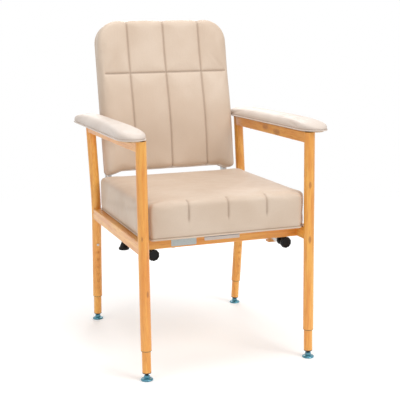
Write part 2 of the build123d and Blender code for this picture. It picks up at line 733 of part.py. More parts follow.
def guide(side, y, drilled):
    """Block that a runner slides through, hung from the side rail's inner face by a flange."""
    face = rail_face_x(side, y)
    inner = side * (RUNNER_X - GUIDE_INNER)
    block_top = RUNNER_Z + GUIDE_HALF_HEIGHT
    section = Plane(origin=(0, FRONT_Y + y - GUIDE_LENGTH / 2, 0), x_dir=(1, 0, 0), z_dir=(0, -1, 0))
    with BuildPart() as block:
        with BuildSketch(section):
            with BuildLine():
                Polyline(
                    (inner, GUIDE_BOTTOM_Z),
                    (side * (RUNNER_X + GUIDE_FOOT), GUIDE_BOTTOM_Z),
                    (face, RUNNER_Z + GUIDE_FOOT),
                    (face, GUIDE_FLANGE_TOP_Z),
                    (face - side * GUIDE_FLANGE, GUIDE_FLANGE_TOP_Z),
                    (face - side * GUIDE_FLANGE, block_top),
                    (inner, block_top),
                    close=True,
                )
            make_face()
            with Locations((side * RUNNER_X, RUNNER_Z)):
                Circle(RUNNER_R + RUNNING_GAP, mode=Mode.SUBTRACT)
        extrude(amount=-GUIDE_LENGTH)
        if drilled:
            below = Plane(origin=(side * RUNNER_X, FRONT_Y + y, GUIDE_BOTTOM_Z - 1), z_dir=(0, 0, 1))
            with BuildSketch(below):
                Circle(STUD_R + RUNNING_GAP)
            extrude(amount=RUNNER_Z - GUIDE_BOTTOM_Z, mode=Mode.SUBTRACT)
        for plane in guide_screw_planes(side, y):
            with BuildSketch(plane.offset(-1)):
                Circle(SCREW_HOLE_R)
            extrude(amount=GUIDE_FLANGE + 2, mode=Mode.SUBTRACT)
    return block


def guide_screw_planes(side, y):
    """Planes on a guide's flange, facing the rail, where its two screws stand."""
    x = rail_face_x(side, y) - side * GUIDE_FLANGE
    height = (RUNNER_Z + GUIDE_HALF_HEIGHT + GUIDE_FLANGE_TOP_Z) / 2
    shift = GUIDE_LENGTH / 4
    return [
        Plane(origin=(x, FRONT_Y + y + step, height), z_dir=(side, 0, 0)) for step in (-shift, shift)
    ]


GUIDES = (("front", FRONT_GUIDE_Y, False), ("clamp", REAR_GUIDE_Y, True))
for kind, y, drilled in GUIDES:
    for name, side in SIDES.items():
        save(guide(side, y, drilled), f"{kind}_guide_{name}")

with BuildPart() as guide_screws:
    for kind, y, drilled in GUIDES:
        for side in SIDES.values():
            for plane in guide_screw_planes(side, y):
                with BuildSketch(plane.offset(-SCREW_HEAD)):
                    Circle(SCREW_HEAD_R - 1)
                extrude(amount=SCREW_HEAD)
                with BuildSketch(plane):
                    Circle(SCREW_R)
                extrude(amount=GUIDE_FLANGE)
save(guide_screws, "guide_screws")


# ---- knobs ----
def knob(base, stud_end):
    """Flared hand knob with a fluted rim and a moulded-in stud; base is its outer face."""
    upright = Plane(origin=base.origin, x_dir=base.x_dir, z_dir=-base.y_dir)
    with BuildPart() as piece:
        with BuildSketch(upright):
            with BuildLine():
                Line((0, KNOB_DISH), (KNOB_DISH_R, KNOB_DISH))
                Line((KNOB_DISH_R, KNOB_DISH), (KNOB_DISH_R + 2, 0))
                Line((KNOB_DISH_R + 2, 0), (KNOB_R - KNOB_DISH, 0))
                Line((KNOB_R - KNOB_DISH, 0), (KNOB_R, KNOB_DISH))
                Line((KNOB_R, KNOB_DISH), (KNOB_R, KNOB_RIM))
                Line((KNOB_R, KNOB_RIM), (KNOB_R - KNOB_FLUTE_R, KNOB_RIM + KNOB_DISH))
                Line((KNOB_R - KNOB_FLUTE_R, KNOB_RIM + KNOB_DISH), (KNOB_HUB_R, KNOB_CONE_TOP))
                Line((KNOB_HUB_R, KNOB_CONE_TOP), (KNOB_HUB_R, KNOB_LENGTH))
                Line((KNOB_HUB_R, KNOB_LENGTH), (STUD_R, KNOB_LENGTH))
                Line((STUD_R, KNOB_LENGTH), (STUD_R, stud_end))
                Line((STUD_R, stud_end), (0, stud_end))
                Line((0, stud_end), (0, KNOB_DISH))
            make_face()
        revolve(axis=Axis(base.origin, base.z_dir))
        with BuildSketch(base):
            with PolarLocations(KNOB_R + KNOB_FLUTE_R / 2, KNOB_FLUTES):
                Circle(KNOB_FLUTE_R)
        extrude(amount=KNOB_RIM + 2, mode=Mode.SUBTRACT)
    return piece


END_KNOB_Y = RUNNER_FRONT_Y - STOP_FLANGE - SLIDE_SPARE - KNOB_LENGTH
CLAMP_KNOB_Z = GUIDE_BOTTOM_Z - KNOB_STAND_OFF - KNOB_LENGTH
for name, side in SIDES.items():
    facing_front = Plane(
        origin=(side * RUNNER_X, FRONT_Y + END_KNOB_Y, RUNNER_Z), x_dir=(1, 0, 0), z_dir=(0, 1, 0)
    )
    save(knob(facing_front, KNOB_LENGTH + END_STUD_REACH), f"end_knob_{name}")
    facing_down = Plane(
        origin=(side * RUNNER_X, FRONT_Y + REAR_GUIDE_Y, CLAMP_KNOB_Z), x_dir=(1, 0, 0), z_dir=(0, 0, 1)
    )
    clamp_reach = RUNNER_Z - RUNNER_R - CLAMP_STUD_AIR - CLAMP_KNOB_Z
    save(knob(facing_down, clamp_reach), f"clamp_knob_{name}")

with BuildPart() as runner_plugs:
    for side in SIDES.values():
        front = Plane(
            origin=(side * RUNNER_X, FRONT_Y + RUNNER_FRONT_Y - STOP_FLANGE, RUNNER_Z), z_dir=(0, 1, 0)
        )
        stud_bore = STUD_R + RUNNING_GAP
        extrude(tube_section(front, STOP_FLANGE_R, stud_bore).sketch, amount=STOP_FLANGE)
        extrude(tube_section(front, RUNNER_BORE_R - TOUCH, stud_bore).sketch, amount=RUNNER_PLUG_LENGTH)
save(runner_plugs, "runner_plugs")


# ---- blank plates on the front rail ----
with BuildPart() as rail_labels:
    face_y = FRONT_Y + FRONT_RAIL_Y - RAIL_WIDTH / 2
    label_z = SEAT_RAIL_TOP_Z - SEAT_RAIL_TALL / 2
    with BuildSketch(Plane(origin=(0, face_y, label_z), x_dir=(1, 0, 0), z_dir=(0, -1, 0))):
        for across, up, length, tall in LABELS:
            with Locations((across, up)):
                RectangleRounded(length, tall, 2)
    extrude(amount=LABEL_THICK)
save(rail_labels, "rail_labels")
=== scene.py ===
"""Looks of the padded height-adjustable chair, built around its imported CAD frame.

Metres, in the CAD frame: +Z is up, -Y is the front of the chair, +X is the right as seen from the front.
"""

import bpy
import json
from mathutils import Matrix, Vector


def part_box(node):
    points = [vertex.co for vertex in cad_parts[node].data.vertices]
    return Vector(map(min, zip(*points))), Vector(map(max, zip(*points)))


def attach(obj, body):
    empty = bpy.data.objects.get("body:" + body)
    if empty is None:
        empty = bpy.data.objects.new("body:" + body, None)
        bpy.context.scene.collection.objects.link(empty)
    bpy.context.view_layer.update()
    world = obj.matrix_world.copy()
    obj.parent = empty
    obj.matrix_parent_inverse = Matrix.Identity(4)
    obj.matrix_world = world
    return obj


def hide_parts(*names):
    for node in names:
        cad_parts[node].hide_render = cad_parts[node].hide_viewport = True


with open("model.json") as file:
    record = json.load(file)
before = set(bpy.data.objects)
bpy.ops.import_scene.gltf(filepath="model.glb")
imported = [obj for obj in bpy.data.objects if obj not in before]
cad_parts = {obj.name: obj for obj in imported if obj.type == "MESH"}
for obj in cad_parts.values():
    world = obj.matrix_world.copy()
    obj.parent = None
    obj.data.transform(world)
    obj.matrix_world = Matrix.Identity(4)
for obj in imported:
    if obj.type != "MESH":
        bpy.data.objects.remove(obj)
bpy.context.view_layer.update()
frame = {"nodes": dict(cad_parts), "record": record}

import json
from math import cos, pi, radians, sin

import bmesh
import bpy
import numpy as np
from mathutils import Matrix, Vector
from mathutils.bvhtree import BVHTree

scene = bpy.context.scene
MM = 0.001

# ---- camera, studio ----
CAMERA_TARGET = (0.0026, -0.0650, 0.4435)
CAMERA_AZIMUTH = -19.26
CAMERA_ELEVATION = 10.55
CAMERA_ROLL = -0.848
CAMERA_DISTANCE = 2.721
CAMERA_LENS = 81.54
FLOOR_SIZE = 16.0
FLOOR_SOLID_R = 1.0
FLOOR_GONE_R = 2.8
FLOOR_GLOW = 0.16
WORLD_LIGHT = 0.54  # what the white surroundings light with
WORLD_SEEN = 1.0  # what the camera and mirror reflections see of them
LIGHT_AIM = (0.0, 0.0, 0.5)
LIGHTS = (  # name, place, size, power
    ("key", (1.5, -2.4, 2.6), 1.6, 38.0),
    ("top", (0.0, -0.2, 2.9), 1.8, 31.0),
    ("fill", (-2.6, -1.4, 1.4), 2.0, 12.0),
    ("rear", (0.6, 2.6, 2.0), 1.6, 22.0),
)

# ---- cushions ----
SIM_FRAMES = 20
PRESSURE = 4.0
VOXEL = 5.0 * MM
BACK_RAKE = 10.0
BACK_CORNER_R = 70.0 * MM
BACK_SEAMS_X = (-120.0 * MM, 0.0, 120.0 * MM)
BACK_CROSS_SEAM_BELOW_TOP = 171.0 * MM
SEAT_SEAMS_X = (-115.0 * MM, 0.0, 115.0 * MM)
SEAT_SEAM_ON_TOP = 42.0 * MM
SEAT_NECK_STEP = 12.0 * MM  # narrower between the front legs
SEAT_NECK_BACK = 21.0 * MM
SEAT_WIDE_FROM = 31.0 * MM
STITCH_PITCH = 5.0 * MM
STITCH_LENGTH = 3.4 * MM
STITCH_R = 0.45 * MM
STITCH_BESIDE = 2.6 * MM  # from a seam to the row of stitches on each side of it
SEAM_HELD = 3.2 * MM  # held still on each side of a seam while a cushion swells
SEAM_WIDTH = 2.6 * MM
# width of the painted shade along a seam
SEAM_SHADE_WIDTH = 2.4 * MM
SEAM_FAR = 30.0 * MM  # added to a seam's distance where the seam has ended
WELT_R = 2.4 * MM

# ---- levels of the shells: height from the bottom and inset, and a rounded upper edge ----
SEAT_FOOT_LEVELS = ((0.8 * MM, 7 * MM), (3 * MM, 4 * MM), (8 * MM, 2.5 * MM), (20 * MM, 1 * MM))
SEAT_EDGE = (19 * MM, 16 * MM, 15 * MM)  # start below the top, rise, run
SEAT_TOP_LEVEL = (2.5 * MM, 30 * MM)  # below the top, and inset
SEAT_WIDER = 5 * MM  # it bulges over the side rails
SEAT_SHORTER = 1 * MM
SEAT_HIGHER = 2.5 * MM
SEAT_CROWN = 4 * MM
SEAT_CORNER_R = 12 * MM
SEAT_NECK_AIR = 6 * MM
BACK_FOOT_LEVELS = ((1 * MM, 9 * MM), (3 * MM, 4 * MM), (9 * MM, 1 * MM), (20 * MM, 0.0))
BACK_EDGE = (26 * MM, 20 * MM, 13.9 * MM)
BACK_NARROWER = 3 * MM
BACK_HIGHER = 7 * MM
BACK_LUMBAR = 170 * MM  # height of the lumbar bulge's middle
BACK_LUMBAR_SPREAD = 140 * MM
BACK_LUMBAR_OUT = 9 * MM
BACK_FALL = 7 * MM  # how far the face falls back away from the bulge
BACK_FOOT = {"arch": 10 * MM, "lobe_width": 22 * MM, "lobe_r": 12 * MM, "slope": 26 * MM}
ARM_FOOT_LEVELS = (
    (0.8 * MM, 9 * MM),
    (2.5 * MM, 4 * MM),
    (6 * MM, 1 * MM),
    (11 * MM, 0.0),
    (14 * MM, 0.3 * MM),
)
ARM_EDGE = (14 * MM, 12 * MM, 22 * MM)
ARM_NARROWER = 1 * MM
ARM_LONGER = 5 * MM
ARM_HIGHER = 2 * MM
ARM_END = 66 * MM
ARM_CROWN = 4 * MM
ARM_THINNER_ENDS = 0.45
ARM_END_LIFT = 2.5 * MM
ARM_SEAM_Z = 4.5 * MM
ARM_SEAM_LIFT = 1 * MM
ARM_WELT_R = 1.8 * MM


# ---------------------------------------------------------------- colours and shader nodes
def srgb(red, green, blue):
    """Linear RGBA from an sRGB colour in 0 to 255."""
    linear = []
    for value in (red, green, blue):
        share = value / 255
        linear.append(share / 12.92 if share <= 0.04045 else ((share + 0.055) / 1.055) ** 2.4)
    return (*linear, 1.0)


class Finish:
    """One Principled material, and short ways to add nodes to it."""

    def __init__(self, name, **constants):
        self.material = bpy.data.materials.new(name)
        self.material.use_nodes = True
        self.tree = self.material.node_tree
        self.principled = self.tree.nodes["Principled BSDF"]
        for socket, value in constants.items():
            self.principled.inputs[socket.replace("_", " ")].default_value = value

    def feed(self, socket, value):
        if isinstance(value, bpy.types.NodeSocket):
            self.tree.links.new(value, socket)
        else:
            socket.default_value = value

    def node(self, kind, inputs, **settings):
        made = self.tree.nodes.new("ShaderNode" + kind)
        for key, value in settings.items():
            setattr(made, key, value)
        for key, value in inputs.items():
            self.feed(made.inputs[key], value)
        return made

    def place(self, scale=(1.0, 1.0, 1.0)):
        """The object's own coordinates in metres, times a scale."""
        coordinates = self.node("TexCoord", {}).outputs["Object"]
        return self.node("Mapping", {"Vector": coordinates, "Scale": scale}).outputs[0]

    def noise(self, vector, scale, detail=2.0, roughness=0.5, distortion=0.0):
        inputs = {
            "Vector": vector,
            "Scale": scale,
            "Detail": detail,
            "Roughness": roughness,
            "Distortion": distortion,
        }
        return self.node("TexNoise", inputs).outputs[0]

    def cells(self, vector, scale, feature="F1"):
        made = self.node("TexVoronoi", {"Vector": vector, "Scale": scale}, feature=feature)
        return made.outputs["Distance"]

    def math(self, operation, first, second=0.0):
        return self.node("Math", {0: first, 1: second}, operation=operation).outputs[0]

    def span(self, value, low, high, to_low=0.0, to_high=1.0):
        """Value mapped smoothly from low..high to to_low..to_high, and kept between them."""
        inputs = {0: value, 1: low, 2: high, 3: to_low, 4: to_high}
        return self.node("MapRange", inputs, interpolation_type="SMOOTHSTEP").outputs[0]

    def mix(self, share, first, second, blend_type="MIX"):
        made = self.node("Mix", {0: share, 6: first, 7: second}, data_type="RGBA", blend_type=blend_type)
        return made.outputs[2]

    def bump(self, height, distance, strength=1.0, normal=None):
        inputs = {"Height": height, "Distance": distance, "Strength": strength}
        if normal is not None:
            inputs["Normal"] = normal
        return self.node("Bump", inputs).outputs[0]

    def use(self, socket, value):
        self.feed(self.principled.inputs[socket], value)


# ---------------------------------------------------------------- materials
def timber(name, along, knots=()):
    """Timber-look film: pale honey to amber grain along one axis, fine pores, and a few knots."""
    finish = Finish(name, Coat_Weight=0.45, Coat_Roughness=0.2, IOR=1.5)
    place = finish.place()
    stretch = [1.0, 1.0, 1.0]
    stretch["XYZ".index(along)] = 0.06
    knot_mask = 0.0
    for centre, radius in knots:
        squeezed = [1.0, 1.0, 1.0]
        squeezed["XYZ".index(along)] = 0.4
        offset = finish.node("VectorMath", {0: place, 1: centre}, operation="SUBTRACT").outputs[0]
        scaled = finish.node("VectorMath", {0: offset, 1: squeezed}, operation="MULTIPLY").outputs[0]
        far = finish.node("VectorMath", {0: scaled}, operation="LENGTH").outputs["Value"]
        knot = finish.span(far, radius * 0.35, radius, 1.0, 0.0)
        knot_mask = finish.math("MAXIMUM", knot_mask, knot)
    bent = finish.node("VectorMath", {0: place, 1: stretch}, operation="MULTIPLY").outputs[0]
    if knots:
        push = finish.math("MULTIPLY", knot_mask, 0.006)
        bent = finish.node("VectorMath", {0: bent, 1: push}, operation="ADD").outputs[0]
    bands = finish.noise(bent, 85.0, 3.0, 0.55, 0.5)
    streaks = finish.noise(bent, 420.0, 2.0, 0.6)
    pores = finish.noise(bent, 1500.0, 1.0, 0.5)
    tone = finish.noise(place, 5.0, 1.0)
    colour = finish.mix(finish.span(bands, 0.33, 0.68), srgb(242, 180, 82), srgb(224, 148, 54))
    colour = finish.mix(finish.span(streaks, 0.5, 0.72, 0.0, 0.55), colour, srgb(196, 120, 48))
    colour = finish.mix(finish.span(tone, 0.35, 0.7, 0.0, 0.3), colour, srgb(230, 140, 62))
    colour = finish.mix(finish.span(pores, 0.62, 0.75, 0.0, 0.25), colour, srgb(150, 88, 36))
    if knots:
        colour = finish.mix(finish.math("MULTIPLY", knot_mask, 0.6), colour, srgb(150, 84, 34))
    finish.use("Base Color", colour)
    finish.use("Roughness", finish.span(streaks, 0.3, 0.7, 0.34, 0.46))
    finish.use("Normal", finish.bump(streaks, 0.00008, 0.6))
    return finish.material


def vinyl(name, colour, shade):
    """Soft matt vinyl: pebbled grain with painted shade in its hollows, faint hand-worn tone changes, and
    painted shade darkening its seams.
    """
    finish = Finish(name, Sheen_Weight=0.08, Sheen_Roughness=0.5, IOR=1.48)
    place = finish.place()
    pebbles = finish.cells(place, 620.0, "SMOOTH_F1")
    fine = finish.noise(place, 1500.0, 2.0, 0.6)
    creases = finish.noise(finish.place((1.0, 1.0, 0.35)), 60.0, 3.0, 0.55, 1.2)
    tone = finish.noise(place, 7.0, 2.0)
    seam = finish.node("Attribute", {}, attribute_name="seam").outputs["Fac"]
    base = finish.mix(finish.span(tone, 0.3, 0.7, 0.0, 0.5), colour, shade)
    # Painted shade: the vinyl is darker in the hollows of its pebbled grain, where the bump is lowest.
    base = finish.mix(finish.span(pebbles, 0.15, 0.75, 0.22, 0.0), base, shade)
    # Painted shade: the vinyl darkens towards the pressed seams, at the points stored in the seam attribute.
    base = finish.mix(finish.math("MULTIPLY", seam, 0.5), base, srgb(140, 112, 92))
    finish.use("Base Color", base)
    finish.use("Roughness", finish.span(finish.noise(place, 30.0), 0.3, 0.7, 0.42, 0.56))
    rough = finish.bump(pebbles, 0.00022, 0.7)
    rough = finish.bump(fine, 0.00006, 0.5, rough)
    finish.use("Normal", finish.bump(creases, 0.0011, 0.35, rough))
    return finish.material


def plated_steel(name):
    """Dull zinc plating with faint spangle and draw lines."""
    finish = Finish(name, Metallic=0.9)
    place = finish.place()
    spangle = finish.cells(place, 160.0)
    lines = finish.noise(finish.place((1.0, 0.03, 1.0)), 900.0, 2.0)
    colour = finish.mix(finish.span(spangle, 0.1, 0.8), srgb(208, 210, 210), srgb(198, 200, 202))
    finish.use("Base Color", colour)
    finish.use("Roughness", finish.span(lines, 0.3, 0.7, 0.26, 0.4))
    finish.use("Normal", finish.bump(lines, 0.00004, 0.5))
    return finish.material


def moulded(name, colour, worn, roughness, coat=0.0, metallic=0.0, ior=1.5):
    """Moulded plastic: spark-eroded texture, slight colour drift, and paler where hands wear it."""
    finish = Finish(name, Coat_Weight=coat, Coat_Roughness=0.1, Metallic=metallic, IOR=ior)
    place = finish.place()
    grain = finish.noise(place, 1800.0, 2.0, 0.6)
    drift = finish.noise(place, 60.0, 3.0)
    finish.use("Base Color", finish.mix(finish.span(drift, 0.45, 0.75, 0.0, 0.6), colour, worn))
    finish.use("Roughness", finish.span(grain, 0.3, 0.7, roughness - 0.05, roughness + 0.07))
    finish.use("Normal", finish.bump(grain, 0.00006, 0.5))
    return finish.material


def plywood(name):
    """Pale plywood: long soft grain across the sheet with darker growth lines."""
    finish = Finish(name, IOR=1.45)
    place = finish.place((1.0, 0.08, 1.0))
    rings = finish.noise(place, 60.0, 4.0, 0.6, 0.8)
    pores = finish.noise(place, 900.0, 2.0)
    colour = finish.mix(finish.span(rings, 0.35, 0.7), srgb(214, 184, 142), srgb(178, 140, 96))
    colour = finish.mix(finish.span(pores, 0.55, 0.75, 0.0, 0.4), colour, srgb(128, 94, 60))
    finish.use("Base Color", colour)
    finish.use("Roughness", finish.span(rings, 0.3, 0.7, 0.6, 0.75))
    finish.use("Normal", finish.bump(pores, 0.0001, 0.6))
    return finish.material


def label_film(name):
    """Blank plate: silvery film with one darker band, and no lettering."""
    finish = Finish(name, IOR=1.5)
    place = finish.place()
    axes = finish.node("SeparateXYZ", {0: place})
    low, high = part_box("rail_labels")
    middle = (low.z + high.z) / 2
    upper = finish.span(axes.outputs[2], middle + 0.0035, middle + 0.0045)
    right = finish.span(axes.outputs[0], low.x + 0.08, low.x + 0.085)
    smudge = finish.noise(place, 260.0, 3.0)
    silver = finish.mix(finish.span(smudge, 0.2, 0.8), srgb(196, 206, 208), srgb(182, 196, 200))
    paper = finish.mix(finish.math("MULTIPLY", upper, 0.9), srgb(214, 208, 204), srgb(74, 78, 96))
    finish.use("Base Color", finish.mix(right, silver, paper))
    finish.use("Roughness", finish.span(smudge, 0.3, 0.7, 0.35, 0.5))
    finish.use("Normal", finish.bump(smudge, 0.00005, 0.4))
    return finish.material


def floor_material():
    """Near-white floor that thins out into the white studio around it."""
    glow = {"Emission_Color": (1.0, 1.0, 1.0, 1.0), "Emission_Strength": FLOOR_GLOW}
    finish = Finish("studio_floor", Roughness=0.9, **glow)
    place = finish.place()
    shades = srgb(252, 252, 252), srgb(255, 255, 255)
    finish.use("Base Color", finish.mix(finish.noise(place, 3.0), *shades))
    far = finish.node("VectorMath", {0: place}, operation="LENGTH").outputs["Value"]
    finish.use("Alpha", finish.span(far, FLOOR_SOLID_R, FLOOR_GONE_R, 1.0, 0.0))
    return finish.material


def knots_on(node, along, places, radius):
    """Knots on a node's outer surface: places are shares of its length along one axis."""
    low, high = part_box(node)
    axis = "XYZ".index(along)
    found = []
    for share, drop in places:
        centre = (low + high) / 2
        centre[axis] = low[axis] + (high[axis] - low[axis]) * share
        if along == "Z":
            centre[0] += drop
            centre[1] = low[1]
        else:
            centre[0] = low[0]
            centre[2] += drop
        found.append((tuple(centre), radius))
    return found


# ---------------------------------------------------------------- mesh helpers
def coordinates(piece):
    flat = np.empty(len(piece.data.vertices) * 3)
    piece.data.vertices.foreach_get("co", flat)
    return flat.reshape(-1, 3)


def normals(piece):
    flat = np.empty(len(piece.data.vertices) * 3)
    piece.data.vertex_normals.foreach_get("vector", flat)
    return flat.reshape(-1, 3)


def set_coordinates(piece, points):
    piece.data.vertices.foreach_set("co", points.astype(np.float32).ravel())
    piece.data.update()


def new_piece(name, mesh):
    piece = bpy.data.objects.new(name, mesh)
    scene.collection.objects.link(piece)
    return piece


def shade_smooth(piece):
    piece.data.polygons.foreach_set("use_smooth", [True] * len(piece.data.polygons))


def arc(centre, radius, start, end, steps):
    """Points on a circular or elliptical arc, from one angle to another in degrees."""
    across, along = radius if isinstance(radius, tuple) else (radius, radius)
    angles = [radians(start + (end - start) * i / steps) for i in range(steps + 1)]
    return [(centre[0] + across * cos(a), centre[1] + along * sin(a)) for a in angles]


def shell(name, outline, levels):
    """Closed shell made of rings: levels are (height, inset) pairs, outline(inset) gives one ring."""
    built = bmesh.new()
    rings = []
    for height, inset in levels:
        rings.append([built.verts.new((x, y, height)) for x, y in outline(inset)])
    for low, high in zip(rings, rings[1:]):
        for i in range(len(low)):
            following = (i + 1) % len(low)
            built.faces.new((low[i], low[following], high[following], high[i]))
    built.faces.new(rings[0][::-1])
    built.faces.new(rings[-1])
    mesh = bpy.data.meshes.new(name)
    built.to_mesh(mesh)
    built.free()
    return new_piece(name, mesh)


def apply_modifiers(piece):
    """The piece's mesh becomes what its modifiers make of it."""
    graph = bpy.context.evaluated_depsgraph_get()
    made = bpy.data.meshes.new_from_object(piece.evaluated_get(graph))
    piece.modifiers.clear()
    piece.data = made


def remesh(piece, voxel):
    modifier = piece.modifiers.new("remesh", "REMESH")
    modifier.mode = "VOXEL"
    modifier.voxel_size = voxel
    smooth = piece.modifiers.new("smooth", "SMOOTH")
    smooth.iterations = 4
    apply_modifiers(piece)


def subdivide(piece):
    modifier = piece.modifiers.new("subdivide", "SUBSURF")
    modifier.levels = 1
    modifier.render_levels = 1
    apply_modifiers(piece)


def press_seams(piece, distance, depth, width):
    """Channel along the seams: every point near one moves inwards along its normal."""
    points = coordinates(piece)
    share = np.exp(-((distance(points) / width) ** 2))
    set_coordinates(piece, points - normals(piece) * (depth * share)[:, None])


def swell(piece, held, cap):
    """Inflate the shell by cloth simulation. Held points stay, and no point moves further than cap."""
    rest = coordinates(piece)
    group = piece.vertex_groups.new(name="held")
    group.add([int(i) for i in np.flatnonzero(held(rest))], 1.0, "REPLACE")
    cloth = piece.modifiers.new("swell", "CLOTH")
    settings = cloth.settings
    settings.quality = 4
    settings.mass = 0.3
    settings.use_pressure = True
    settings.uniform_pressure_force = PRESSURE
    settings.effector_weights.gravity = 0.0
    settings.vertex_group_mass = "held"
    settings.tension_stiffness = 15.0
    settings.compression_stiffness = 15.0
    settings.bending_stiffness = 0.6
    cloth.collision_settings.use_collision = False
    for step in range(1, SIM_FRAMES + 1):
        scene.frame_set(step)
    graph = bpy.context.evaluated_depsgraph_get()
    swollen = np.array([v.co for v in piece.evaluated_get(graph).data.vertices])
    piece.modifiers.remove(cloth)
    scene.frame_set(1)
    move = swollen - rest
    reach = np.maximum(np.linalg.norm(move, axis=1), 1e-9)
    set_coordinates(piece, rest + move * (cap * np.tanh(reach / cap) / reach)[:, None])


def paint_seam_shade(piece, distance, width):
    """Stores how near each point is to a seam, for the material to paint shade there."""
    share = np.exp(-((distance(coordinates(piece)) / width) ** 2))
    attribute = piece.data.attributes.new("seam", "FLOAT", "POINT")
    attribute.data.foreach_set("value", share.astype(np.float32))


def finish_piece(piece, material, body):
    piece.data.materials.clear()
    piece.data.materials.append(material)
    shade_smooth(piece)
    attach(piece, body)
    return piece


def sweep_tube(name, path, radius, sides=8, closed=True):
    """Round tube along a list of points: piping, or a thread."""
    built = bmesh.new()
    count = len(path)
    rings = []
    for i, point in enumerate(path):
        before = path[i - 1] if closed or i else point
        after = path[(i + 1) % count] if closed or i < count - 1 else point
        forward = (after - before).normalized()
        side = forward.cross(Vector((0.11, 0.23, 0.97))).normalized()
        up = side.cross(forward)
        turns = [2 * pi * k / sides for k in range(sides)]
        ring = [point + (side * cos(turn) + up * sin(turn)) * radius for turn in turns]
        rings.append([built.verts.new(corner) for corner in ring])
    pairs = list(zip(rings, rings[1:] + (rings[:1] if closed else [])))
    for low, high in pairs:
        for k in range(sides):
            following = (k + 1) % sides
            built.faces.new((low[k], low[following], high[following], high[k]))
    if not closed:
        built.faces.new(rings[0][::-1])
        built.faces.new(rings[-1])
    bmesh.ops.recalc_face_normals(built, faces=built.faces)
    mesh = bpy.data.meshes.new(name)
    built.to_mesh(mesh)
    built.free()
    return new_piece(name, mesh)


def stitches(name, piece, lines, towards):
    """Rows of thread stitches lying on a cushion along lines, found by casting rays at its surface."""
    surface = BVHTree.FromPolygons(
        [v.co for v in piece.data.vertices], [list(p.vertices) for p in piece.data.polygons]
    )
    built = bmesh.new()
    for start, end in lines:
        start = Vector(start)
        end = Vector(end)
        steps = int((end - start).length / STITCH_PITCH)
        for i in range(steps):
            places = [i * STITCH_PITCH + part * STITCH_LENGTH for part in (0, 0.5, 1)]
            at = [start.lerp(end, place / (end - start).length) for place in places]
            hits = [surface.ray_cast(point - towards * 0.2, towards) for point in at]
            if any(hit[0] is None for hit in hits):
                continue
            lift = [0.1, 0.75, 0.1]
            line = [hit[0] + hit[1] * STITCH_R * up for hit, up in zip(hits, lift)]
            rings = []
            forward = (line[-1] - line[0]).normalized()
            for point, radius in zip(line, (0.55, 1.0, 0.55)):
                side = forward.cross(hits[1][1]).normalized() * STITCH_R * radius
                up = hits[1][1] * STITCH_R * radius
                rings.append(
                    [built.verts.new(point + side * cos(k * pi / 3) + up * sin(k * pi / 3)) for k in range(6)]
                )
            for low, high in zip(rings, rings[1:]):
                for k in range(6):
                    following = (k + 1) % 6
                    built.faces.new((low[k], high[k], high[following], low[following]))
            built.faces.new(rings[0])
            built.faces.new(rings[-1][::-1])
    bmesh.ops.recalc_face_normals(built, faces=built.faces)
    mesh = bpy.data.meshes.new(name)
    built.to_mesh(mesh)
    built.free()
    return new_piece(name, mesh)


# ---------------------------------------------------------------- outlines
def seat_outline(half_wide, half_neck, half_y, radius):
    """Function from an inset to the seat's outline: narrower between the front legs than behind them."""
    def ring(inset):
        neck, wide, along = half_neck - inset, half_wide - inset, half_y - inset
        corner = max(radius - inset, 2 * MM)
        right = arc((neck - corner, -along + corner), corner, -90, 0, 8)
        right += [(neck, -half_y + SEAT_NECK_BACK), (wide, -half_y + SEAT_WIDE_FROM)]
        right += arc((wide - corner, along - corner), corner, 0, 90, 8)
        return right + [(-x, y) for x, y in reversed(right)]
    return ring


def pad_outline(half_x, half_y, end):
    """Function from an inset to a long outline with half-elliptical ends."""
    def ring(inset):
        across, along, tip = half_x - inset, half_y - inset, end - inset
        straight = along - tip
        rear = arc((0, straight), (across, tip), 0, 180, 24)
        front = arc((0, -straight), (across, tip), 180, 360, 24)
        return rear + front
    return ring


def back_outline(half_x, top, arch, lobe_width, lobe_r, slope):
    """Function from an inset to the back's outline: round top corners, and two lobes at the foot."""
    def ring(inset):
        side = half_x - inset
        high = top - inset
        corner = BACK_CORNER_R - inset
        low = lobe_r - inset
        right = arc((half_x - lobe_r, lobe_r), low, -90, 0, 6)
        right += arc((side - corner, high - corner), corner, 0, 90, 12)
        left = [(-x, y) for x, y in reversed(right)]
        inner = half_x - lobe_width
        arch_x = inner - slope
        arch_z = arch + inset
        return right + left + [(-inner, inset), (-arch_x, arch_z), (arch_x, arch_z), (inner, inset)]
    return ring


# ---------------------------------------------------------------- camera and studio
def add_camera():
    data = bpy.data.cameras.new("camera")
    data.lens = CAMERA_LENS
    data.sensor_width = 36.0
    camera = bpy.data.objects.new("camera", data)
    scene.collection.objects.link(camera)
    azimuth = radians(CAMERA_AZIMUTH)
    elevation = radians(CAMERA_ELEVATION)
    back = Vector((sin(azimuth) * cos(elevation), -cos(azimuth) * cos(elevation), sin(elevation)))
    look = (-back).to_track_quat("-Z", "Y").to_matrix().to_4x4()
    place = Matrix.Translation(Vector(CAMERA_TARGET) + back * CAMERA_DISTANCE)
    camera.matrix_world = place @ look @ Matrix.Rotation(radians(CAMERA_ROLL), 4, "Z")
    scene.camera = camera


def area_light(name, place, size, power):
    data = bpy.data.lights.new(name, "AREA")
    data.shape = "DISK"
    data.size = size
    data.energy = power
    light = bpy.data.objects.new(name, data)
    scene.collection.objects.link(light)
    light.location = place
    light.rotation_mode = "QUATERNION"
    light.rotation_quaternion = (Vector(LIGHT_AIM) - Vector(place)).to_track_quat("-Z", "Y")


